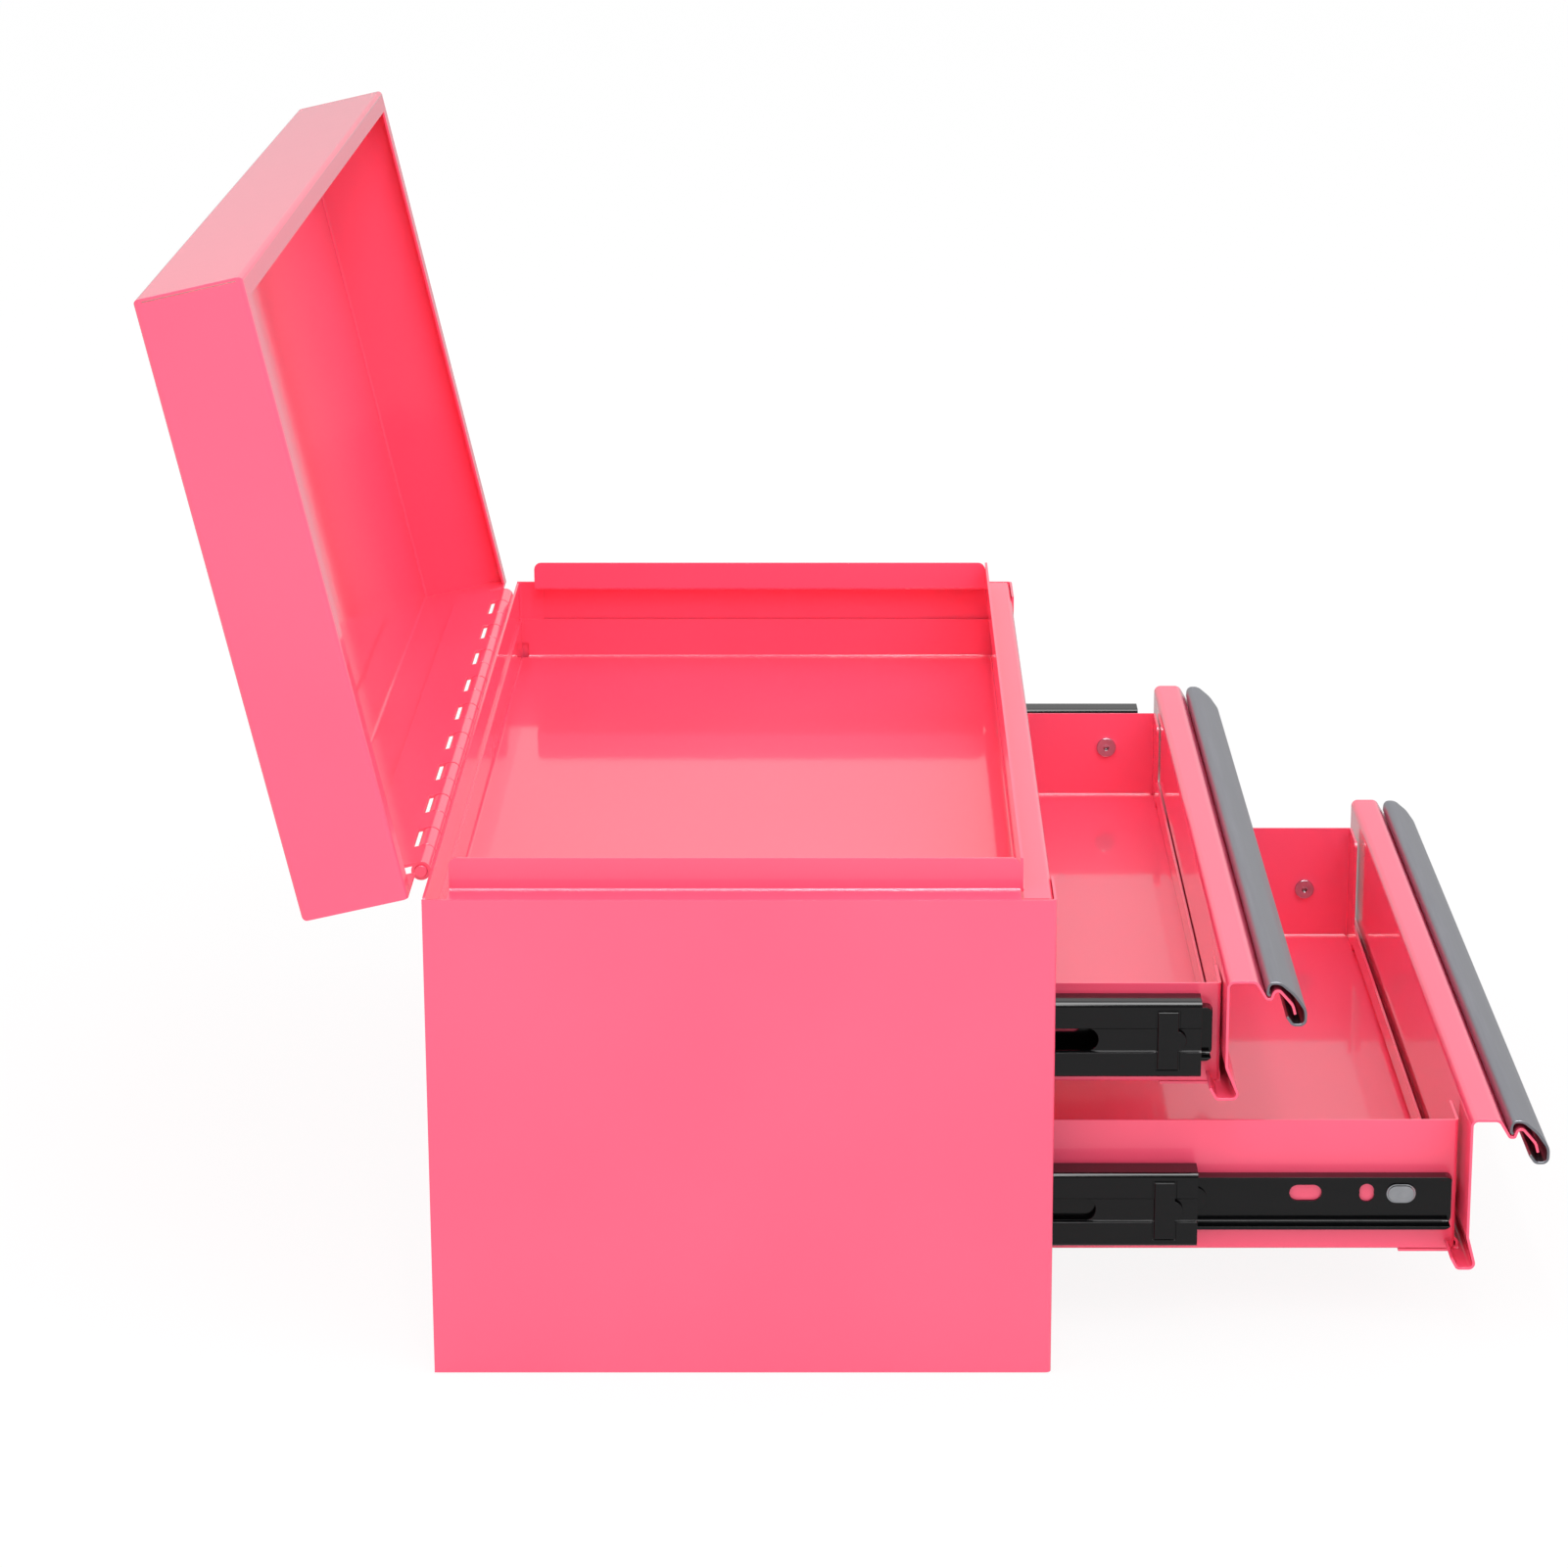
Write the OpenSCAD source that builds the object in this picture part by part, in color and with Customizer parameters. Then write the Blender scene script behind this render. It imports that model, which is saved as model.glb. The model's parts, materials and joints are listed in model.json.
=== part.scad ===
// Portable tool box: folded sheet-steel case with an open top tray, a lid on
// a piano hinge, and two drawers on three-section ball-bearing slides.
// Millimetres, +Z up, the front faces -Y, the origin is under the middle of the case.

/* [Case] */
// Width over the side panels
case_w = 460; // [420:5:520]
// Depth from the front stiles to the rear panel
case_d = 221; // [215:1:240]
// Height from the floor to the rim that the lid closes on
case_h = 178; // [174:1:200]
// Thickness of all the folded sheet
sheet = 1; // [0.8:0.1:1.2]
// Outer radius of the folds
fold_r = 2; // [1.6:0.1:2.6]
// Width of the front stiles
stile_w = 28; // [24:0.5:32]
// Depth of the ledge around the rim
ledge_w = 12; // [11:1:16]
// Height of the upstand inside the rim
upstand_h = 11.6; // [8:0.2:16]
// Height of the front rail under the drawers
bottom_rail_h = 22; // [16:1:26]
// Height of the front rail over the drawers
top_rail_h = 37; // [36:0.5:44]

/* [Top tray] */
// Height of the tray's floor over the lower edge of the top rail
tray_rise = 3.3; // [2.6:0.1:5]
// Height of the tray's walls
tray_wall_h = 17; // [12:0.5:22]

/* [Lid] */
// Depth of the lid's skirt
lid_skirt = 38; // [30:1:50]
// Width of the inward return along the lid's ends
lid_end_return = 10; // [6:0.5:10]
// Width of the inward return along the lid's front
lid_front_return = 8; // [5:0.5:9]
// Opening angle of the lid in degrees
lid_open = 102.75; // [0:0.25:104]

/* [Hinge] */
// Number of knuckles, the outermost two on the lid
knuckles = 19; // [11:2:23]
// Length of the hinge
hinge_len = 401; // [380:1:410]
// Distance of the hinge's middle from the lid's middle
hinge_x = 6; // [0:1:6]
// Radius of the hinge pin
pin_r = 2.25; // [1.75:0.05:2.25]
// Radial clearance of the lid's knuckles on the pin
pin_clear = 0.05; // [0.02:0.01:0.08]
// Thickness of the hinge leaves
leaf_t = 1.2; // [1.1:0.05:1.3]
// Width of each leaf from the pin's axis
leaf_w = 22; // [16:1:26]

/* [Drawers] */
// Height of the lower drawer's front
lower_face_h = 58.2; // [54:0.2:60]
// Gap between the two drawer fronts
face_gap = 7.3; // [6:0.1:9]
// How far the upper drawer stands open
upper_out = 62.5; // [60:0.5:90]
// How far the lower drawer stands open
lower_out = 151.5; // [90:0.5:155]
// Height of the cut-down front wall over the drawer's floor
low_wall_h = 13; // [10:0.5:16]
// Width of the tabs at the ends of the cut-down front wall
tab_w = 23; // [18:1:30]

/* [Slides] */
// Height of the cabinet members
slide_h = 35.4; // [35:0.1:36]
// Thickness of a closed slide, from carrier to drawer
slide_t = 16; // [15.6:0.1:16.4]
// How far the intermediate members stand out
runner_out = 60; // [40:0.5:60]
// Height of a slide's line of rivets over or under its middle
slide_turn = 2; // [0:0.1:2.2]
// Number of balls in each row of a cage
row_balls = 5; // [3:1:6]
// Radius of the holes for the drawers' rivets
rivet_hole_r = 1.9; // [1.6:0.05:1.95]

/* [Carry handle] */
// Distance between the handle's legs
handle_w = 120; // [100:2:140]
// Distance from the handle's pivot to its grip
handle_drop = 36; // [32:1:42]
// Radius of the handle's rod
handle_r = 4; // [3.5:0.1:4.4]

/* [Hidden] */
bend_steps = 6;
$fn = 48;
half_w = case_w / 2;
front_y = -case_d / 2;
rear_y = case_d / 2;
// rim
upstand_x = half_w - ledge_w;
rail_y = front_y + sheet;
upstand_y = rail_y + ledge_w - 0.6;
side_rear_y = rear_y - 8.6;
flange_w = 12;
corner_r = 3;
// lid, drawn closed
rim_gap = 0.2;
seam = 0.5;
rim_z = case_h + rim_gap;
lid_top = rim_z + lid_skirt;
lid_front = front_y - sheet;
// hinge
knuckle_r = pin_r + pin_clear + leaf_t;
pivot_y = rear_y + knuckle_r;
pivot_z = case_h - 0.7;
knuckle_pitch = hinge_len / knuckles;
knuckle_gap = 0.9;
leaf_end = 0.3;
leaf_notch = knuckle_r + 0.6;
leaf_corner_r = 10;
lid_rear = rear_y + leaf_t;
skirt_cut = 7;
skirt_cut_x = hinge_len / 2 + 7.5;
// drawers
stile_x = half_w - stile_w;
face_x = stile_x - 2;
gap_over_bottom_rail = 5;
gap_under_top_rail = 3.1;
lower_face_z = bottom_rail_h + gap_over_bottom_rail;
upper_face_z = lower_face_z + lower_face_h + face_gap;
upper_face_h = case_h - top_rail_h - gap_under_top_rail - upper_face_z;
floor_over_foot = 0.1;
wall_under_shelf = 7.3;
upper_setback = 0.4;
lower_setback = 1.6;
box_len = case_d - 20;
web_y = front_y - sheet;
// slides
carrier_x = half_w - 33;
box_x = carrier_x - slide_t;
member_t = 1.2;
slide_over_floor = 22.8;
slide_y = front_y + 8;
slide_len = case_d - 20;
lower_slide_z = lower_face_z + floor_over_foot + slide_over_floor;
upper_slide_z = upper_face_z + floor_over_foot + slide_over_floor;
runner_in = 3.4;
runner_y = slide_y - 2.3;
runner_len = slide_len - 5;
runner_h = slide_h - 2 * runner_in;
member_y = slide_y - 4.5;
member_len = slide_len - 4;
member_h = slide_h - 15;
rivet_front = 18.5;
rivet_rear = member_len - 26;
carrier_clear = 2;
cage_len = 80;
cage_t = 0.5;
cage_pitch = 70 / (row_balls - 1);
ball_play = 0.05;
outer_ball_z = (slide_h / 2 - member_t + runner_h / 2) / 2;
outer_ball_r = (slide_h / 2 - member_t - runner_h / 2) / 2 - ball_play;
inner_ball_z = (runner_h / 2 - member_t + member_h / 2) / 2;
inner_ball_r = (runner_h / 2 - member_t - member_h / 2) / 2 - ball_play;
// tray
tray_z = case_h - top_rail_h + tray_rise;
tray_x = half_w - 2 * sheet;
tray_front = rail_y + 7;
// handle
handle_y = (lid_front + lid_rear) / 2;
trunnion_r = 3;
handle_pivot_z = lid_top + handle_r + 1.2;
ear_x = handle_w / 2 - handle_r - 4.5;

paint = "#e0203c";
black = "#26262a";
silver = "#c4c6cc";
aluminium = "#9fa2aa";

// ---- folded sheet: a path of [x, y, bend radius] and a thickness to its left ----

function unit(v) = v / norm(v);
function left(v) = unit([-v[1], v[0]]);
function xy(p) = [p[0], p[1]];
function turned(v, a) = [v[0] * cos(a) - v[1] * sin(a), v[0] * sin(a) + v[1] * cos(a)];

// points of the bend of radius r at the corner b between a and c
function bend(a, b, c, r) =
  let (u = unit(a - b), v = unit(c - b), half = acos(u * v) / 2)
  let (reach = min(r / tan(half), 0.49 * norm(a - b), 0.49 * norm(c - b)))
  let (middle = b + unit(u + v) * reach / cos(half), start = b + u * reach - middle)
  let (way = cross(u, v) > 0 ? -1 : 1)
  [for (i = [0:bend_steps]) middle + turned(start, way * (180 - 2 * half) * i / bend_steps)];

// the path with its corners bent
function bent(p) = [for (i = [0:len(p) - 1])
  each (i == 0 || i == len(p) - 1 || p[i][2] == 0) ? [xy(p[i])]
    : bend(xy(p[i - 1]), xy(p[i]), xy(p[i + 1]), p[i][2])];

// the closed outline with its corners bent
function rounded(p) = let (n = len(p)) [for (i = [0:n - 1])
  each p[i][2] == 0 ? [xy(p[i])]
    : bend(xy(p[(i + n - 1) % n]), xy(p[i]), xy(p[(i + 1) % n]), p[i][2])];

function beside(p, i, t) =
  let (a = left(p[max(i, 1)] - p[max(i, 1) - 1]), j = min(i, len(p) - 2))
  let (b = left(p[j + 1] - p[j]))
  p[i] + (a + b) * t / (1 + a * b);

module folded(path, t) {
  p = bent(path);
  polygon(concat(p, [for (i = [len(p) - 1:-1:0]) beside(p, i, t)]));
}

// ---- placing: profiles drawn in the plane square to the named axis ----

module along_x(x0, x1) {
  translate([x0, 0, 0]) rotate([90, 0, 90]) linear_extrude(x1 - x0) children();
}
module along_y(y0, y1) {
  translate([0, y1, 0]) rotate([90, 0, 0]) linear_extrude(y1 - y0) children();
}
module along_z(z0, z1) {
  translate([0, 0, z0]) linear_extrude(z1 - z0) children();
}
module block(low, high) {
  translate(low) cube(high - low);
}
module rod_x(x0, x1, r) {
  translate([x0, 0, 0]) rotate([0, 90, 0]) cylinder(h = x1 - x0, r = r);
}
// side is -1 for the left and 1 for the right; the children are drawn on the left
module on_side(side) {
  mirror([side > 0 ? 1 : 0, 0, 0]) children();
}
module opened() {
  translate([0, pivot_y, pivot_z]) rotate([-lid_open, 0, 0])
    translate([0, -pivot_y, -pivot_z]) children();
}
// a slide's own frame: x from the carrier towards the drawer, z from the slide's middle;
// the z given is the height of its rivets
module slide_frame(side, z, out) {
  on_side(side) translate([-carrier_x, -out, z + side * slide_turn]) children();
}
// the same slide is turned over for the other side of the case, so its rivets lie above its
// middle on the left and below it on the right
function rivet_line(side) = -side * slide_turn;

// ---- case ----

module side_panel(side) {
  top = case_h + upstand_h;
  color(paint) on_side(side) {
    along_z(0, case_h) folded([[-stile_x, front_y, 0], [-half_w, front_y, fold_r],
      [-half_w, rear_y, 0]], -sheet);
    intersection() {
      along_y(upstand_y, side_rear_y) folded([[-half_w + flange_w, 0, 0], [-half_w, 0, fold_r],
        [-half_w, case_h, fold_r], [-upstand_x, case_h, 0.8], [-upstand_x, top, 0]], -sheet);
      along_x(-half_w - 1, 0) polygon(rounded([[upstand_y, -1, 0], [side_rear_y, -1, 0],
        [side_rear_y, top, corner_r], [upstand_y, top, corner_r]]));
    }
  }
}

module rear_panel() {
  x = half_w - sheet;
  color(paint) intersection() {
    along_z(0, case_h) folded([[-x, rear_y - flange_w, 0], [-x, rear_y, fold_r],
      [x, rear_y, fold_r], [x, rear_y - flange_w, 0]], -sheet);
    along_y(rear_y - flange_w - 1, rear_y + 1) polygon(rounded([[-x, 0, 0], [x, 0, 0],
      [x, case_h, corner_r], [-x, case_h, corner_r]]));
  }
}

module base_pan() {
  in_x = half_w - flange_w - sheet;
  flange_x = carrier_x - carrier_clear;
  color(paint) {
    along_y(rail_y + sheet, rear_y - sheet) folded([[-in_x - 10, sheet, 0], [-in_x, sheet, 0],
      [-in_x + sheet, 0, 0], [in_x - sheet, 0, 0], [in_x, sheet, 0], [in_x + 10, sheet, 0]], sheet);
    for (y = [[rail_y + sheet, rail_y + 2 * sheet], [rear_y - 2 * sheet, rear_y - sheet]])
      block([-flange_x, y[0], 0], [flange_x, y[1], flange_w]);
  }
}

// the rails' returns stop short of the slide carriers
module carrier_notches(z0, z1) {
  for (side = [-1, 1]) on_side(side)
    block([-half_w, rail_y + fold_r, z0], [carrier_clear - carrier_x, rail_y + 20, z1]);
}

module front_top_rail() {
  z0 = case_h - top_rail_h;
  color(paint) {
    difference() {
      along_x(-tray_x, tray_x) folded([[rail_y + 10, z0, 0], [rail_y, z0, fold_r],
        [rail_y, case_h, fold_r], [upstand_y - sheet, case_h, 0]], -sheet);
      carrier_notches(z0 - 1, z0 + 2);
    }
    along_x(-upstand_x, upstand_x) folded([[rail_y + 5, case_h, 0], [upstand_y - sheet, case_h, 0.8],
      [upstand_y - sheet, case_h + upstand_h, 0]], -sheet);
  }
}

module front_bottom_rail() {
  color(paint) difference() {
    along_x(-tray_x, tray_x) folded([[rail_y, 0, 0], [rail_y, bottom_rail_h, fold_r],
      [rail_y + flange_w, bottom_rail_h, 0]], -sheet);
    carrier_notches(bottom_rail_h - 2, bottom_rail_h + 1);
  }
}

module top_tray() {
  z1 = tray_z + tray_wall_h;
  back = rear_y - sheet;
  hole_r = 4;
  color(paint) difference() {
    union() {
      along_y(tray_front, back) folded([[-tray_x, z1, 0], [-tray_x, tray_z - sheet, fold_r],
        [tray_x, tray_z - sheet, fold_r], [tray_x, z1, 0]], sheet);
      along_x(-tray_x + fold_r, tray_x - fold_r) folded([[rail_y + sheet, z1, 0],
        [tray_front, z1, 0.8], [tray_front, tray_z - sheet, fold_r],
        [back, tray_z - sheet, fold_r], [back, z1, 0]], sheet);
    }
    for (side = [-1, 1]) translate([side * tray_x, back, tray_z - 2 * sheet])
      cylinder(h = 8, r = hole_r);
  }
}

module slide_carrier(side) {
  color(paint) on_side(side) difference() {
    along_z(2 * sheet, tray_z - sheet) folded([[-half_w + sheet, slide_y + 9, 0],
      [-half_w + sheet, slide_y, 1.4], [-carrier_x, slide_y, fold_r],
      [-carrier_x, rear_y - sheet, fold_r], [-carrier_x - 22, rear_y - sheet, 0]], sheet);
    for (z = [lower_slide_z, upper_slide_z], y = rivet_places())
      translate([-carrier_x - 5, y, z]) rod_x(0, 10, 2);
  }
}

// ---- slides ----

function rivet_places() = [slide_y + 12, slide_y + slide_len - 12];

module cabinet_member(side, z) {
  h = slide_h / 2;
  color(black) slide_frame(side, z, 0) difference() {
    along_y(slide_y, slide_y + slide_len) folded([[13, h - 2.7, 0], [13, h, fold_r], [0, h, fold_r],
      [0, -h, fold_r], [13, -h, fold_r], [13, 2.7 - h, 0]], member_t);
    for (y = rivet_places()) translate([-1, y, rivet_line(side)]) rod_x(0, 4, 2);
    for (y = [slide_y + 45, slide_y + slide_len / 2 + 40]) obround(-1, y, y + 16, 2.6);
  }
}

// a slot through a member's web, from y0 to y1 and r high each way
module obround(x, y0, y1, r) {
  for (y = [y0 + r, y1 - r]) translate([x, y, 0]) rod_x(0, 18, r);
  if (y1 - y0 > 2 * r) block([x, y0 + r, -r], [x + 18, y1 - r, r]);
}

module intermediate_member(side, z) {
  h = runner_h / 2;
  s1 = slide_t - 1.6;
  band = 4.7;
  clip_y = runner_y + 8.4;
  color(black) slide_frame(side, z, runner_out) difference() {
    along_y(runner_y, runner_y + runner_len) folded([[s1, h - 2.8, 0], [s1, h, fold_r],
      [2.6, h, fold_r], [2.6, band, 0], [3.6, band - 0.6, 0], [3.6, 0.6 - band, 0],
      [2.6, -band, 0], [2.6, -h, fold_r], [s1, -h, fold_r], [s1, 2.8 - h, 0]], member_t);
    obround(0, runner_y + 37, runner_y + 67, 4.3);
    obround(0, runner_y + runner_len - 75, runner_y + runner_len - 45, 4.3);
    // groove round the stop clip
    difference() {
      block([2, clip_y - 0.7, -11.5], [3.1, clip_y + 8.1, 11.5]);
      block([1, clip_y, -10.8], [4, clip_y + 7.4, 10.8]);
    }
  }
}

module drawer_member(side, z, out) {
  h = member_h / 2;
  y1 = member_y + member_len;
  color(black) slide_frame(side, z, out) {
    difference() {
      intersection() {
        along_y(member_y, y1) folded([[9.2, -h, 0], [slide_t, -h, fold_r],
          [slide_t, h, fold_r], [9.2, h, 0]], member_t);
        along_x(0, slide_t + 1) polygon(rounded([[member_y, -h, corner_r], [y1, -h, 0],
          [y1, h, 0], [member_y, h, corner_r]]));
      }
      translate([slide_t - 4, 0, rivet_line(side)]) {
        for (y = [rivet_front, rivet_rear]) translate([0, member_y + y, 0]) rod_x(0, 6, rivet_hole_r);
        for (end = [-1, 1]) translate([0, member_y + 31, end * 0.8]) rod_x(0, 6, 2.7);
        obround(0, member_y + 47.5, member_y + 59.3, 3.1);
        obround(0, y1 - 66, y1 - 54, 3.1);
      }
    }
    // the pressed button that the stop catches
    translate([slide_t - member_t - 1, member_y + member_len / 2 - 4.5, 0]) rod_x(0, 1.2, 4.5);
  }
}

module stop_clips(z) {
  y0 = runner_y + 8.4;
  color(black) for (side = [-1, 1]) slide_frame(side, z, runner_out) {
    block([1.8, y0, -10.8], [2.6, y0 + 7.4, 10.8]);
    intersection() {
      translate([1.8, y0 + 0.7, 0]) rod_x(0, 0.8, 3.7);
      block([1, y0 - 4, -5], [3, y0 + 1, 5]);
    }
  }
}

module cage(side, z, out, y0, s0, s1, h, ball_r) {
  color(black) slide_frame(side, z, out) difference() {
    along_y(y0, y0 + cage_len) folded([[s1, h, 0], [s0, h, 1], [s0, -h, 1], [s1, -h, 0]], cage_t);
    for (i = [0:row_balls - 1]) translate([(s0 + s1) / 2 + 1, y0 + 5 + i * cage_pitch, -h - 1])
      cylinder(h = 2 * h + 2, r = ball_r + 0.1);
  }
}

module balls(z, out, y0, s0, s1, ball_z, ball_r) {
  color(silver) for (side = [-1, 1]) slide_frame(side, z, out)
    for (i = [0:row_balls - 1], up = [-1, 1])
      translate([(s0 + s1) / 2 + 1, y0 + 5 + i * cage_pitch, up * ball_z])
        sphere(r = ball_r, $fn = 24);
}

// the cages run at half the speed of the member that they carry
outer_cage_y = slide_y + 4 + 47.5;
inner_cage_y = runner_y + 4.3 + 50;
function inner_out(out) = runner_out + (out - runner_out) / 2;

module outer_cage(side, z) {
  cage(side, z, runner_out / 2, outer_cage_y, 1.7, 10.8, outer_ball_z + cage_t / 2, outer_ball_r);
}
module outer_balls(z) {
  balls(z, runner_out / 2, outer_cage_y, 1.7, 10.8, outer_ball_z, outer_ball_r);
}
module inner_cage(side, z, out) {
  cage(side, z, inner_out(out), inner_cage_y, 6.9, 12.8, inner_ball_z + cage_t / 2, inner_ball_r);
}
module inner_balls(z, out) {
  balls(z, inner_out(out), inner_cage_y, 6.9, 12.8, inner_ball_z, inner_ball_r);
}

// flat-headed rivets that hold the cabinet members on their carriers
module member_rivets() {
  color(silver) for (side = [-1, 1], z = [lower_slide_z, upper_slide_z], y = rivet_places())
    slide_frame(side, z, 0) translate([0, y, rivet_line(side)]) {
      rod_x(member_t, member_t + 0.3, 3.6);
      rod_x(-sheet, member_t, 1.9);
      rod_x(-sheet - 1.2, -sheet, 3);
    }
}

// ---- drawers ----

module drawer_box(face_z, face_h, out, setback) {
  z0 = face_z + floor_over_foot;
  wall_z = face_z + face_h - wall_under_shelf;
  back = front_y + box_len;
  inner_y = front_y + setback;
  low_z = z0 + low_wall_h;
  color(paint) translate([0, -out, 0]) difference() {
    union() {
      // side walls and floor, then the rear wall
      along_y(inner_y + fold_r, back) folded([[-box_x, wall_z, 0], [-box_x, z0, fold_r],
        [box_x, z0, fold_r], [box_x, wall_z, 0]], sheet);
      block([fold_r - box_x, front_y + sheet, z0], [box_x - fold_r, inner_y + fold_r + 1, z0 + sheet]);
      along_y(back - sheet, back) polygon([[-box_x + sheet, z0], [box_x - sheet, z0],
        [box_x - sheet, wall_z], [-box_x + sheet, wall_z]]);
      // strip under the floor that turns up as the cut-down front wall
      along_x(1 - box_x, box_x - 1) folded([[inner_y, low_z, 0], [inner_y, z0 + 5, 0],
        [front_y, z0 + 3, 0], [front_y, z0 - sheet, fold_r], [front_y + 22, z0 - sheet, 0]], sheet);
      // tabs turned in from the side walls
      for (side = [-1, 1]) on_side(side) intersection() {
        along_z(z0 + sheet, wall_z) folded([[-box_x, inner_y + fold_r + 1, 0],
          [-box_x, inner_y, fold_r], [tab_w - box_x, inner_y, 0]], sheet);
        along_y(front_y, front_y + 6) polygon(rounded([[-box_x - 1, z0, 0], [tab_w - box_x, z0, 0],
          [tab_w - box_x, wall_z, corner_r], [-box_x - 1, wall_z, 0]]));
      }
    }
    for (y = [rivet_front, rivet_rear]) translate([0, member_y + y, z0 + slide_over_floor])
      rod_x(-box_x - 1, box_x + 1, rivet_hole_r);
  }
}

// places a profile of [distance out from the front's web, distance down from its shelf, radius]
function placed(p, top_z, y) = [for (q = p) [y - q[0], top_z - q[1], q[2]]];

module drawer_front(face_z, face_h, out, flare) {
  top_z = face_z + face_h;
  profile = [[-6.6, face_h - 4.4, 0], [-4.2, face_h, 2], [flare + 0.4, face_h, 2.4],
    [0, face_h - 12.6, 3], [0, sheet, 1.8], [9.2, sheet, 2.2], [13, 7.4, 1.6],
    [15.4, 7.4, 1.2], [16.7, 3.1, 1.2], [22.2, 9.4, 4], [23.1, 12.8, 0]];
  color(paint) translate([0, -out, 0]) difference() {
    along_x(-face_x, face_x) folded(placed(profile, top_z, web_y), -sheet);
    // the return under the foot is cut away where the box is
    block([-box_x - 0.5, front_y, face_z - 1], [box_x + 0.5, front_y + 10, face_z + 6]);
  }
}

module drawer_grip(face_z, face_h, out) {
  profile = [[14, 6, 0], [13.05, 4.9, 1.3], [13.5, 0.4, 2.6], [18.3, 0.4, 5], [23.6, 4.9, 12],
    [27.9, 11, 6], [27.8, 17.2, 3.4], [22.6, 17.2, 2.6], [20.3, 13.9, 0]];
  color(aluminium) translate([0, -out, 0])
    along_x(-face_x, face_x) folded(placed(profile, face_z + face_h, web_y), 1);
}

module long_head(x, t, r) {
  for (end = [-1, 1]) translate([x, end * 1.7, 0]) rod_x(0, t, r);
  block([x, -1.7, -r], [x + t, 1.7, r]);
}

// rivets with a long domed head on the slide and a rolled tail inside the drawer
module drawer_rivets(z, out) {
  color(silver) for (side = [-1, 1], y = [rivet_front, rivet_rear])
    slide_frame(side, z, out) translate([slide_t, member_y + y, rivet_line(side)]) difference() {
      union() {
        long_head(-member_t - 0.7, 0.7, 3.7);
        long_head(-member_t - 1.1, 0.5, 3.1);
        rod_x(-member_t, sheet, rivet_hole_r - 0.1);
        rod_x(sheet, sheet + 1.3, 4.2);
      }
      rod_x(0, sheet + 3, 1.2);
    }
}

// ---- lid, drawn closed and then opened ----

module lid_block(x, y0, y1, z0, z1, r) {
  intersection() {
    along_y(y0, y1) polygon(rounded([[-x, z0, r], [x, z0, r], [x, z1, r], [-x, z1, r]]));
    along_x(-x, x) polygon(rounded([[y0, z0, r], [y1, z0, 0], [y1, z1, r], [y0, z1, r]]));
  }
}

module lid_shell() {
  s = sheet;
  color(paint) opened() difference() {
    lid_block(half_w, lid_front, lid_rear + s, rim_z, lid_top, fold_r);
    lid_block(half_w - s, lid_front + s, lid_rear, rim_z + s, lid_top - s, fold_r - s);
    block([lid_end_return - half_w, lid_front + lid_front_return, rim_z - 1],
      [half_w - lid_end_return, lid_rear, rim_z + 2 * s]);
    block([hinge_x - skirt_cut_x, lid_rear - s, rim_z - 1],
      [hinge_x + skirt_cut_x, lid_rear + 2 * s, rim_z + skirt_cut]);
    // the open seams at the front corners, where the end skirts meet the front skirt
    for (side = [-1, 1]) on_side(side)
      block([-half_w - 1, lid_front + s, rim_z + 2.5], [s - half_w, lid_front + s + seam, lid_top - 3]);
  }
}

// a row of knuckles with its leaf: odd ones on the case, even ones on the lid
function knuckle_x(i) = -hinge_len / 2 + i * knuckle_pitch;

module knuckle_row(first) {
  for (i = [first:2:knuckles - 1]) {
    x0 = knuckle_x(i) + knuckle_gap / 2;
    x1 = knuckle_x(i + 1) - knuckle_gap / 2;
    rod_x(x0, x1, knuckle_r);
    block([x0, -knuckle_r, 0], [x1, leaf_t - knuckle_r, leaf_notch]);
  }
}

module hinge_leaf(first, bore_r, x) {
  translate([hinge_x, pivot_y, pivot_z]) difference() {
    union() {
      knuckle_row(first);
      along_y(-knuckle_r, leaf_t - knuckle_r) polygon(rounded([[-x, leaf_notch, 0],
        [x, leaf_notch, 0], [x, leaf_w, leaf_corner_r], [-x, leaf_w, leaf_corner_r]]));
    }
    rod_x(-half_w, half_w, bore_r);
  }
}

module body_hinge_leaf() {
  color(paint) translate([0, 0, 2 * pivot_z]) mirror([0, 0, 1])
    hinge_leaf(1, pin_r, hinge_len / 2 - leaf_end);
}

module lid_hinge_leaf() {
  color(paint) opened() hinge_leaf(0, pin_r + pin_clear, hinge_len / 2 - leaf_end);
}

module hinge_pin() {
  color(paint) translate([hinge_x, pivot_y, pivot_z])
    rod_x(-hinge_len / 2 - 0.8, hinge_len / 2 + 0.8, pin_r);
}

// ---- carry handle, on the lid's outer top ----

// ears welded on the lid
module handle_brackets() {
  eye_z = handle_pivot_z - lid_top;
  color(paint) opened() for (side = [-1, 1]) translate([side * ear_x, handle_y, lid_top])
    difference() {
      union() {
        block([-6, -12, 0], [6, 12, 1.5]);
        along_x(-1.5, 1.5) polygon(rounded([[-6.5, 1, 0], [6.5, 1, 0], [6.5, eye_z + 5.5, 6],
          [-6.5, eye_z + 5.5, 6]]));
      }
      translate([0, 0, eye_z]) rod_x(-8, 8, trunnion_r + 0.05);
    }
}

module carry_handle() {
  x = handle_w / 2;
  color(black) opened() translate([0, handle_y, handle_pivot_z]) rotate([lid_open - 90, 0, 0]) {
    for (side = [-1, 1]) {
      on_side(side) rod_x(-x, 4 - ear_x, trunnion_r);
      translate([side * x, 0, 0]) sphere(r = handle_r);
      translate([side * x, 0, 0]) rotate([-90, 0, 0]) cylinder(h = handle_drop, r = handle_r);
      translate([side * x, handle_drop, 0]) sphere(r = handle_r);
    }
    translate([0, handle_drop, 0]) rod_x(-x, x, handle_r);
  }
}

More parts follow.
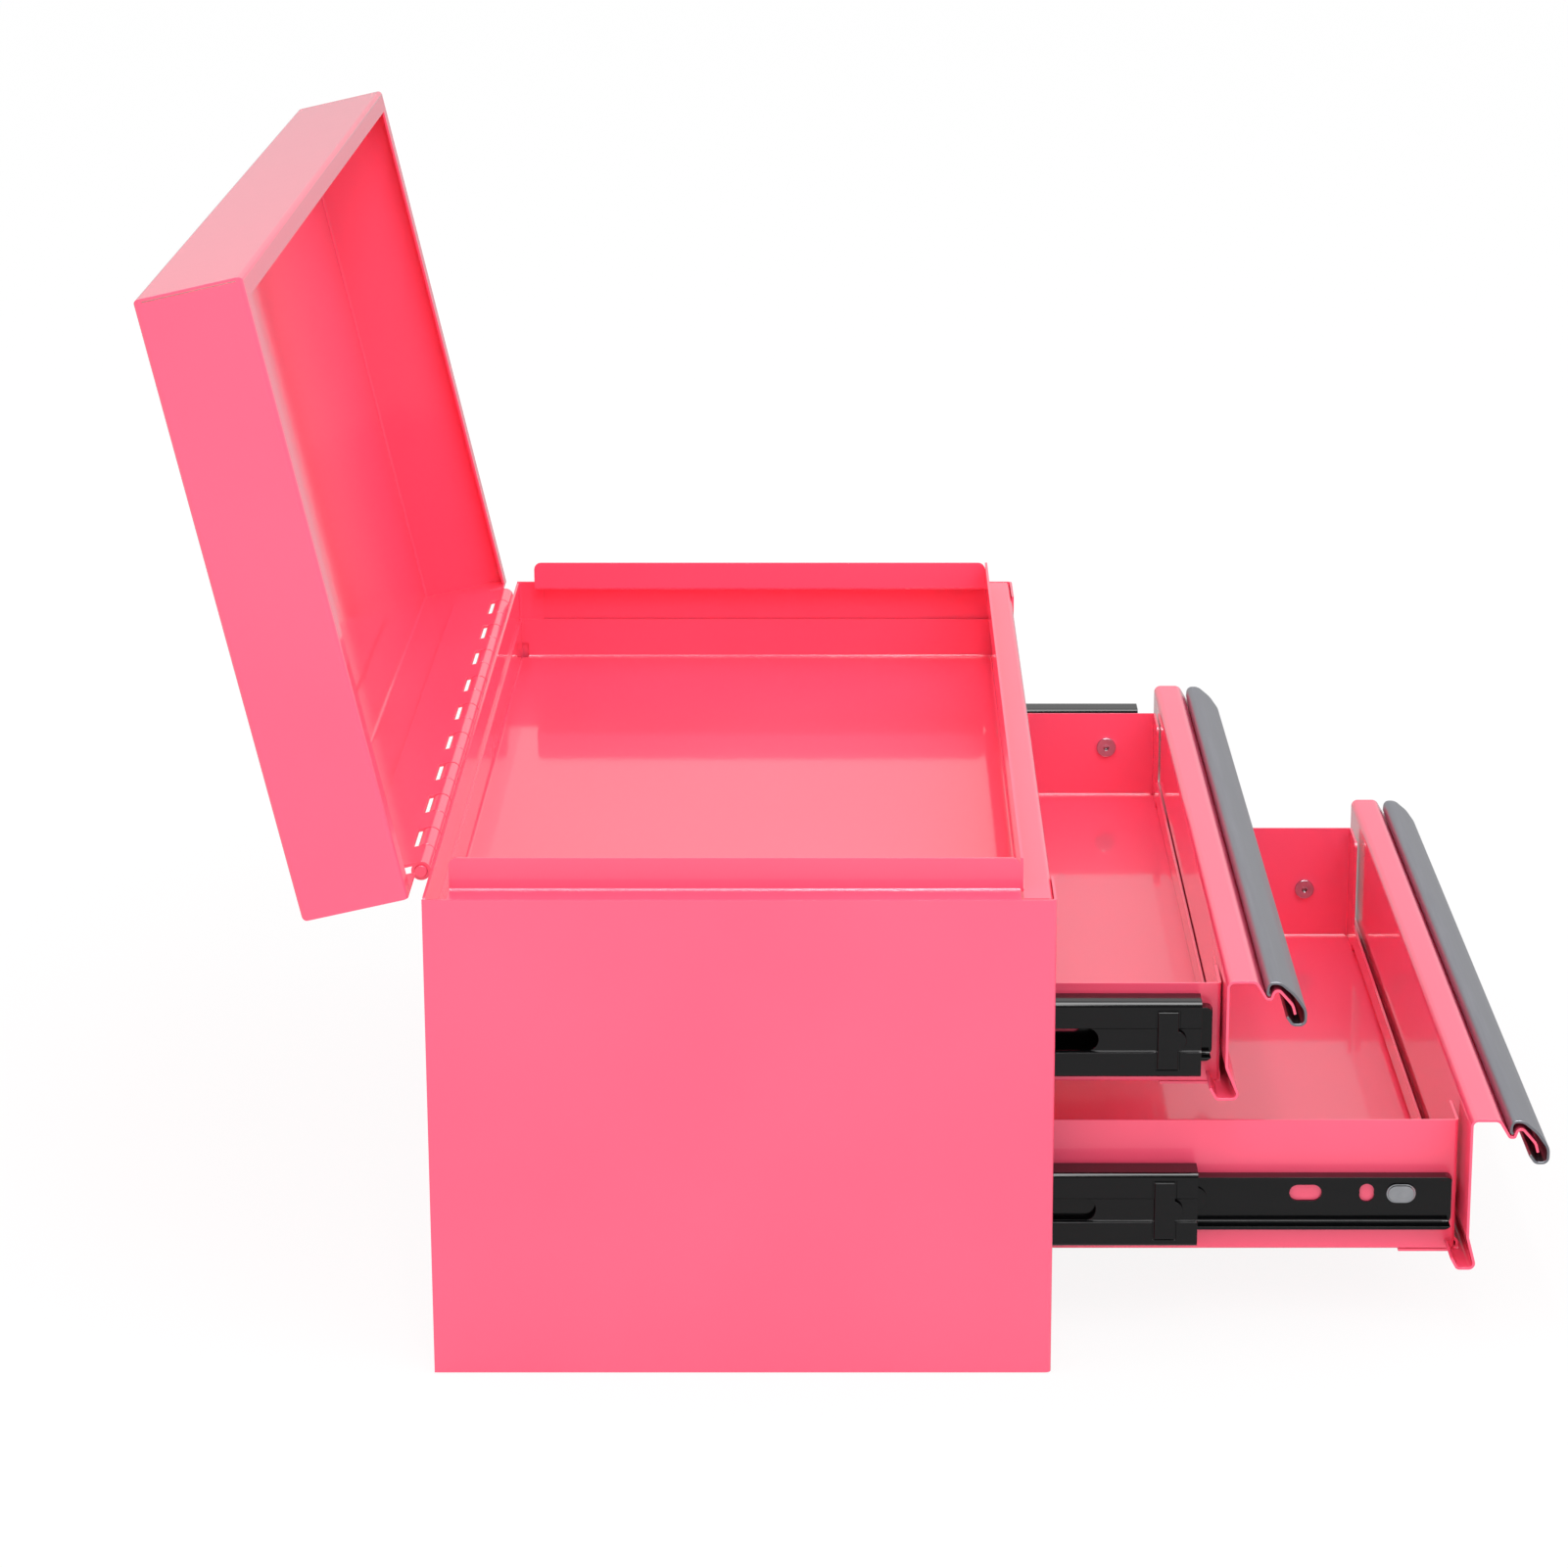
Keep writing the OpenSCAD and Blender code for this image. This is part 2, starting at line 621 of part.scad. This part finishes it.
side_panel(-1);  // left_side_panel
side_panel(1);  // right_side_panel
rear_panel();
base_pan();
front_top_rail();
front_bottom_rail();
top_tray();
slide_carrier(-1);  // left_slide_carrier
slide_carrier(1);  // right_slide_carrier
body_hinge_leaf();
hinge_pin();
member_rivets();
cabinet_member(-1, upper_slide_z);  // upper_left_cabinet_member
cabinet_member(1, upper_slide_z);  // upper_right_cabinet_member
cabinet_member(-1, lower_slide_z);  // lower_left_cabinet_member
cabinet_member(1, lower_slide_z);  // lower_right_cabinet_member
lid_shell();
lid_hinge_leaf();
handle_brackets();
carry_handle();
drawer_box(upper_face_z, upper_face_h, upper_out, upper_setback);  // upper_drawer_box
drawer_front(upper_face_z, upper_face_h, upper_out, 4.9);  // upper_drawer_front
drawer_grip(upper_face_z, upper_face_h, upper_out);  // upper_drawer_grip
drawer_rivets(upper_slide_z, upper_out);  // upper_drawer_rivets
drawer_member(-1, upper_slide_z, upper_out);  // upper_left_drawer_member
drawer_member(1, upper_slide_z, upper_out);  // upper_right_drawer_member
drawer_box(lower_face_z, lower_face_h, lower_out, lower_setback);  // lower_drawer_box
drawer_front(lower_face_z, lower_face_h, lower_out, 2.9);  // lower_drawer_front
drawer_grip(lower_face_z, lower_face_h, lower_out);  // lower_drawer_grip
drawer_rivets(lower_slide_z, lower_out);  // lower_drawer_rivets
drawer_member(-1, lower_slide_z, lower_out);  // lower_left_drawer_member
drawer_member(1, lower_slide_z, lower_out);  // lower_right_drawer_member
intermediate_member(-1, upper_slide_z);  // upper_left_intermediate_member
intermediate_member(1, upper_slide_z);  // upper_right_intermediate_member
stop_clips(upper_slide_z);  // upper_stop_clips
intermediate_member(-1, lower_slide_z);  // lower_left_intermediate_member
intermediate_member(1, lower_slide_z);  // lower_right_intermediate_member
stop_clips(lower_slide_z);  // lower_stop_clips
outer_cage(-1, upper_slide_z);  // upper_left_outer_cage
outer_cage(1, upper_slide_z);  // upper_right_outer_cage
outer_balls(upper_slide_z);  // upper_outer_balls
inner_cage(-1, upper_slide_z, upper_out);  // upper_left_inner_cage
inner_cage(1, upper_slide_z, upper_out);  // upper_right_inner_cage
inner_balls(upper_slide_z, upper_out);  // upper_inner_balls
outer_cage(-1, lower_slide_z);  // lower_left_outer_cage
outer_cage(1, lower_slide_z);  // lower_right_outer_cage
outer_balls(lower_slide_z);  // lower_outer_balls
inner_cage(-1, lower_slide_z, lower_out);  // lower_left_inner_cage
inner_cage(1, lower_slide_z, lower_out);  // lower_right_inner_cage
inner_balls(lower_slide_z, lower_out);  // lower_inner_balls
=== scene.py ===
"""Looks for the two-drawer tool box: baked pink enamel on folded sheet, black slides, anodised grips."""
import json
import math

import bpy
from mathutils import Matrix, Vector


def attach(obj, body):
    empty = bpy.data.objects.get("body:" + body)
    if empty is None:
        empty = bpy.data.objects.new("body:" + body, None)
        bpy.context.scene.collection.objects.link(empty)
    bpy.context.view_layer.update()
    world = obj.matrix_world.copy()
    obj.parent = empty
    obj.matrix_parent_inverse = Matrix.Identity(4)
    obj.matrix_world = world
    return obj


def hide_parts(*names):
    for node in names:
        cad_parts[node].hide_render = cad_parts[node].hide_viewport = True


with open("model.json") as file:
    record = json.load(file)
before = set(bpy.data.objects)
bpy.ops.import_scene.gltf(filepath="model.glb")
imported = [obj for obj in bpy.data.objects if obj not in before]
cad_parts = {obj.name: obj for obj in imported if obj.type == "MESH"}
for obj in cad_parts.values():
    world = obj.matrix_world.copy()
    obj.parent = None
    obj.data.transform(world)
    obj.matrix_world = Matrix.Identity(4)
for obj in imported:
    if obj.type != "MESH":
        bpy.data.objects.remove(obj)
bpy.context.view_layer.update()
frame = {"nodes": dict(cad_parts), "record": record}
MM = 0.001

# ---------------------------------------------------------------- camera, as the photograph was taken
FOCAL_PX = 4536.1
FRAME_PX = 1601
SENSOR_MM = 36
CAMERA_PLACE = (-1.6989, -0.0393, 0.6564)
CAMERA_DOWN_DEGREES = 16.122
CAMERA_SHIFT = (-0.0436, -0.0207)


def add_camera():
    data = bpy.data.cameras.new("camera")
    data.sensor_width = SENSOR_MM
    data.lens = FOCAL_PX / FRAME_PX * SENSOR_MM
    data.shift_x, data.shift_y = CAMERA_SHIFT
    camera = bpy.data.objects.new("camera", data)
    bpy.context.scene.collection.objects.link(camera)
    camera.location = CAMERA_PLACE
    camera.rotation_euler = (math.radians(90 - CAMERA_DOWN_DEGREES), 0, math.radians(-90))
    bpy.context.scene.camera = camera


# ---------------------------------------------------------------- materials
def linear(code):
    """A hex colour as linear red, green, blue and 1."""
    values = [int(code[i:i + 2], 16) / 255 for i in (1, 3, 5)]
    return [v / 12.92 if v <= 0.04045 else ((v + 0.055) / 1.055) ** 2.4 for v in values] + [1.0]


def set_inputs(tree, node, inputs):
    """Each input of the node is linked to another node's output, or set to a value."""
    for name, value in inputs.items():
        if isinstance(value, bpy.types.NodeSocket):
            tree.links.new(value, node.inputs[name])
        else:
            node.inputs[name].default_value = value


def add_node(tree, kind, inputs=None, **settings):
    """A node of that kind, with its settings and its inputs."""
    node = tree.nodes.new(kind)
    for name, value in settings.items():
        setattr(node, name, value)
    set_inputs(tree, node, inputs or {})
    return node


def new_material(name):
    """A material with its node tree, its shader and the places on the object for its patterns."""
    material = bpy.data.materials.new(name)
    material.use_nodes = True
    tree = material.node_tree
    shader = tree.nodes["Principled BSDF"]
    places = add_node(tree, "ShaderNodeTexCoord").outputs["Object"]
    return material, tree, shader, places


# A noise's scale is its number of waves in a metre.
def baked_enamel():
    # Baked enamel on steel: smooth and wet-looking, with the faint ripple of sprayed paint.
    material, tree, shader, places = new_material("baked_enamel_pink")
    # the tone and the haze drift over about 110 mm
    drift = add_node(tree, "ShaderNodeTexNoise", {"Vector": places, "Scale": 9.0, "Detail": 2.0})
    tone = add_node(tree, "ShaderNodeValToRGB", {"Fac": drift.outputs["Fac"]})
    tone.color_ramp.elements[0].position = 0.3
    tone.color_ramp.elements[0].color = linear("#FF5376")
    tone.color_ramp.elements[1].position = 0.7
    tone.color_ramp.elements[1].color = linear("#FF587A")
    haze = add_node(tree, "ShaderNodeMapRange", {
        "Value": drift.outputs["Fac"],
        "To Min": 0.34,
        "To Max": 0.42,
    })
    # ripples of 6 mm, as orange peel has
    ripple = add_node(tree, "ShaderNodeTexNoise", {"Vector": places, "Scale": 160.0, "Detail": 1.0})
    bump = add_node(tree, "ShaderNodeBump", {
        "Height": ripple.outputs["Fac"],
        "Strength": 0.02,
        "Distance": 0.5 * MM,
    })
    set_inputs(tree, shader, {
        "Base Color": tone.outputs["Color"],
        "Roughness": haze.outputs["Result"],
        "Normal": bump.outputs["Normal"],
        "Coat Normal": bump.outputs["Normal"],
        "Coat Weight": 1.0,
        "Coat Roughness": 0.06,
        "Coat IOR": 1.5,
    })
    return material


def black_zinc():
    # Black zinc on cold-rolled steel: near black and smooth, with a faint drawn grain along the slide.
    material, tree, shader, places = new_material("black_zinc_steel")
    # lines 1.1 mm wide and 37 mm long: the real grain is finer, and wouldn't show
    stretch = add_node(tree, "ShaderNodeMapping", {"Vector": places, "Scale": (1.0, 0.03, 1.0)})
    grain = add_node(tree, "ShaderNodeTexNoise", {
        "Vector": stretch.outputs["Vector"],
        "Scale": 900.0,
        "Detail": 2.0,
    })
    tone = add_node(tree, "ShaderNodeValToRGB", {"Fac": grain.outputs["Fac"]})
    tone.color_ramp.elements[0].color = linear("#040405")
    tone.color_ramp.elements[1].color = linear("#0B0B0D")
    haze = add_node(tree, "ShaderNodeMapRange", {
        "Value": grain.outputs["Fac"],
        "To Min": 0.08,
        "To Max": 0.14,
    })
    bump = add_node(tree, "ShaderNodeBump", {
        "Height": grain.outputs["Fac"],
        "Strength": 0.05,
        "Distance": 0.2 * MM,
    })
    set_inputs(tree, shader, {
        "Base Color": tone.outputs["Color"],
        "Roughness": haze.outputs["Result"],
        "Normal": bump.outputs["Normal"],
        "Specular IOR Level": 0.45,
    })
    return material


def anodised_aluminium():
    # Extruded and anodised aluminium: even grey, satin, with die lines along its length.
    material, tree, shader, places = new_material("anodised_aluminium")
    # lines 0.7 mm wide and 36 mm long: real die lines are finer, and wouldn't show
    stretch = add_node(tree, "ShaderNodeMapping", {"Vector": places, "Scale": (0.02, 1.0, 1.0)})
    lines = add_node(tree, "ShaderNodeTexNoise", {
        "Vector": stretch.outputs["Vector"],
        "Scale": 1400.0,
        "Detail": 2.0,
    })
    tone = add_node(tree, "ShaderNodeValToRGB", {"Fac": lines.outputs["Fac"]})
    tone.color_ramp.elements[0].color = linear("#999AA2")
    tone.color_ramp.elements[1].color = linear("#ACADB4")
    haze = add_node(tree, "ShaderNodeMapRange", {
        "Value": lines.outputs["Fac"],
        "To Min": 0.32,
        "To Max": 0.44,
    })
    bump = add_node(tree, "ShaderNodeBump", {
        "Height": lines.outputs["Fac"],
        "Strength": 0.06,
        "Distance": 0.2 * MM,
    })
    set_inputs(tree, shader, {
        "Base Color": tone.outputs["Color"],
        "Metallic": 1.0,
        "Roughness": haze.outputs["Result"],
        "Normal": bump.outputs["Normal"],
    })
    return material


def bright_zinc():
    # Zinc-plated steel: light grey and shiny, with soft cloudy patches.
    material, tree, shader, places = new_material("bright_zinc_steel")
    # patches of 3 mm
    cloud = add_node(tree, "ShaderNodeTexNoise", {"Vector": places, "Scale": 300.0, "Detail": 3.0})
    tone = add_node(tree, "ShaderNodeValToRGB", {"Fac": cloud.outputs["Fac"]})
    tone.color_ramp.elements[0].color = linear("#B4B6BC")
    tone.color_ramp.elements[1].color = linear("#D2D4D8")
    haze = add_node(tree, "ShaderNodeMapRange", {
        "Value": cloud.outputs["Fac"],
        "To Min": 0.1,
        "To Max": 0.2,
    })
    set_inputs(tree, shader, {
        "Base Color": tone.outputs["Color"],
        "Metallic": 1.0,
        "Roughness": haze.outputs["Result"],
    })
    return material


# ---------------------------------------------------------------- pieces
SAME_POINT = 0.005 * MM  # points this close are merged
FLAT_BELOW = math.radians(0.5)  # faces that turn less than this become one
SMOOTH_BELOW = math.radians(35)  # faces that turn less than this shade as one
ROUNDED_ABOVE = math.radians(40)  # edges that turn more than this are rounded
EDGE_STEPS = 2
FLAT_FACE_WEIGHT = 80


def bodies_of():
    """Each node's body."""
    named = frame["record"]["behaviour"]["bodies"]
    return {node: body for body, nodes in named.items() for node in nodes}


def softened(node, width):
    """A copy of a CAD node with its flat faces whole again and its sharp edges rounded by width."""
    bpy.ops.object.select_all(action="DESELECT")
    source = frame["nodes"][node]
    piece = bpy.data.objects.new(node + "_finished", source.data.copy())
    bpy.context.scene.collection.objects.link(piece)
    piece.select_set(True)
    bpy.context.view_layer.objects.active = piece
    bpy.ops.object.mode_set(mode="EDIT")
    bpy.ops.mesh.select_all(action="SELECT")
    bpy.ops.mesh.remove_doubles(threshold=SAME_POINT)
    bpy.ops.mesh.dissolve_limited(angle_limit=FLAT_BELOW)
    bpy.ops.object.mode_set(mode="OBJECT")
    bevel = piece.modifiers.new("edge", "BEVEL")
    bevel.width = width
    bevel.segments = EDGE_STEPS
    bevel.limit_method = "ANGLE"
    bevel.angle_limit = ROUNDED_ABOVE
    bpy.ops.object.modifier_apply(modifier="edge")
    bpy.ops.object.shade_smooth_by_angle(angle=SMOOTH_BELOW)
    # flat faces stay flat and only the rounded edges shade
    flats = piece.modifiers.new("flats", "WEIGHTED_NORMAL")
    flats.keep_sharp = True
    flats.weight = FLAT_FACE_WEIGHT
    bpy.ops.object.modifier_apply(modifier="flats")
    return piece


def dress(node, material, width):
    """The rounded and finished piece takes the CAD node's place on its body."""
    piece = softened(node, width)
    piece.data.materials.clear()
    piece.data.materials.append(material)
    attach(piece, bodies[node])
    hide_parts(node)


def coat(node, material):
    """A CAD node whose shape stays, with the real finish in its slots."""
    for item in frame["nodes"][node].material_slots:
        item.material = material


# ---------------------------------------------------------------- studio
WHITE = linear("#FFFFFF")
PAPER = linear("#F3F3F3")
DAYLIGHT = 1.08  # the world's level, for colours and for the eye
BEHIND_AND_ABOVE = (0.75, 0.0, 0.65)
OVERHEAD = (-0.15, 0.0, 0.99)
FLOOR_WIDTH = 12
FLOOR_DROP = 0.5 * MM  # keeps the floor clear of the case's underside


def add_lamp(name, place, target, size, watts):
    data = bpy.data.lights.new(name, "AREA")
    data.shape = "RECTANGLE"
    data.size, data.size_y = size
    data.energy = watts
    lamp = bpy.data.objects.new(name, data)
    bpy.context.scene.collection.objects.link(lamp)
    lamp.location = place
    direction = Vector(target) - Vector(place)
    lamp.rotation_euler = direction.to_track_quat("-Z", "Y").to_euler()


def add_studio():
    world = bpy.data.worlds.new("studio")
    bpy.context.scene.world = world
    world.use_nodes = True
    tree = world.node_tree
    tree.nodes.clear()
    # the light is even for colours and white for the eye, and a surface mirrors the room below
    path = add_node(tree, "ShaderNodeLightPath")
    way = add_node(tree, "ShaderNodeTexCoord").outputs["Generated"]
    # a pale sweep behind and above the object, and a dark room behind the photographer
    sweep = add_node(tree, "ShaderNodeVectorMath", {0: way, 1: BEHIND_AND_ABOVE}, operation="DOT_PRODUCT")
    room = add_node(tree, "ShaderNodeMapRange", {
        "Value": sweep.outputs["Value"],
        "From Min": -0.5,
        "From Max": 0.2,
        "To Min": 0.15,
        "To Max": 0.62,
    })
    # a bright lamp box overhead, which only rounded edges mirror towards the photographer
    above = add_node(tree, "ShaderNodeVectorMath", {0: way, 1: OVERHEAD}, operation="DOT_PRODUCT")
    lamp_box = add_node(tree, "ShaderNodeMapRange", {
        "Value": above.outputs["Value"],
        "From Min": 0.86,
        "From Max": 0.95,
        "To Min": 0.0,
        "To Max": 8.0,
    })
    mirrored = add_node(tree, "ShaderNodeMath", {0: room.outputs["Result"], 1: lamp_box.outputs["Result"]},
                        operation="ADD")
    strength = add_node(tree, "ShaderNodeMix", {
        "Factor": path.outputs["Is Glossy Ray"],
        "A": DAYLIGHT,
        "B": mirrored.outputs["Value"],
    })
    light = add_node(tree, "ShaderNodeBackground", {"Color": WHITE, "Strength": strength.outputs["Result"]})
    add_node(tree, "ShaderNodeOutputWorld", {"Surface": light.outputs["Background"]})
    add_lamp("key", place=(-1.2, -1.0, 1.6), target=(0, 0, 0.15), size=(1.2, 1.2), watts=8)
    add_lamp("fill", place=(-0.4, 1.4, 1.4), target=(0, 0, 0.2), size=(1.2, 1.2), watts=4)
    # a narrow lamp overhead draws the bright lines on rounded edges
    add_lamp("strip", place=(-0.9, -0.1, 1.5), target=(0, 0, 0.15), size=(0.1, 1.6), watts=5)


def add_floor():
    bpy.ops.mesh.primitive_plane_add(size=FLOOR_WIDTH, location=(0, 0, -FLOOR_DROP))
    floor = bpy.context.object
    floor.name = "floor"
    material = bpy.data.materials.new("matt_white_paper")
    material.use_nodes = True
    tree = material.node_tree
    tree.nodes.clear()
    path = add_node(tree, "ShaderNodeLightPath")
    seen, mirrored = path.outputs["Is Camera Ray"], path.outputs["Is Glossy Ray"]
    paper = add_node(tree, "ShaderNodeBsdfDiffuse", {"Color": PAPER})
    # white to the eye, and greyer in the gloss of the paint
    glow = add_node(tree, "ShaderNodeMapRange", {"Value": mirrored, "To Min": 1.0, "To Max": 0.45})
    white = add_node(tree, "ShaderNodeEmission", {"Color": WHITE, "Strength": glow.outputs["Result"]})
    # a tenth of the floor stays real paper, so that it keeps the object's shadow
    either = add_node(tree, "ShaderNodeMath", {0: seen, 1: mirrored}, operation="MAXIMUM")
    share = add_node(tree, "ShaderNodeMapRange", {
        "Value": either.outputs["Value"],
        "To Min": 0.0,
        "To Max": 0.9,
    })
    mix = add_node(tree, "ShaderNodeMixShader", {
        0: share.outputs["Result"],
        1: paper.outputs["BSDF"],
        2: white.outputs["Emission"],
    })
    add_node(tree, "ShaderNodeOutputMaterial", {"Surface": mix.outputs["Shader"]})
    floor.data.materials.append(material)


# ---------------------------------------------------------------- the object
bodies = bodies_of()
FINISHES = {
    "red_paint": baked_enamel(),
    "black_steel": black_zinc(),
    "aluminium": anodised_aluminium(),
    "bright_steel": bright_zinc(),
}
# how far each finish's sharp edges are rounded
EDGES = {
    "red_paint": 0.35 * MM,
    "black_steel": 0.3 * MM,
    "aluminium": 0.2 * MM,
    "bright_steel": 0.15 * MM,
}

add_camera()
add_studio()
add_floor()
for part in frame["record"]["subparts"]:
    node, slot = part["node"], part["material_slot"]
    if "balls" in node:
        # balls have no edges to round
        coat(node, FINISHES[slot])
    else:
        dress(node, FINISHES[slot], EDGES[slot])

bpy.context.scene.view_settings.view_transform = "Standard"
bpy.context.view_layer.update()
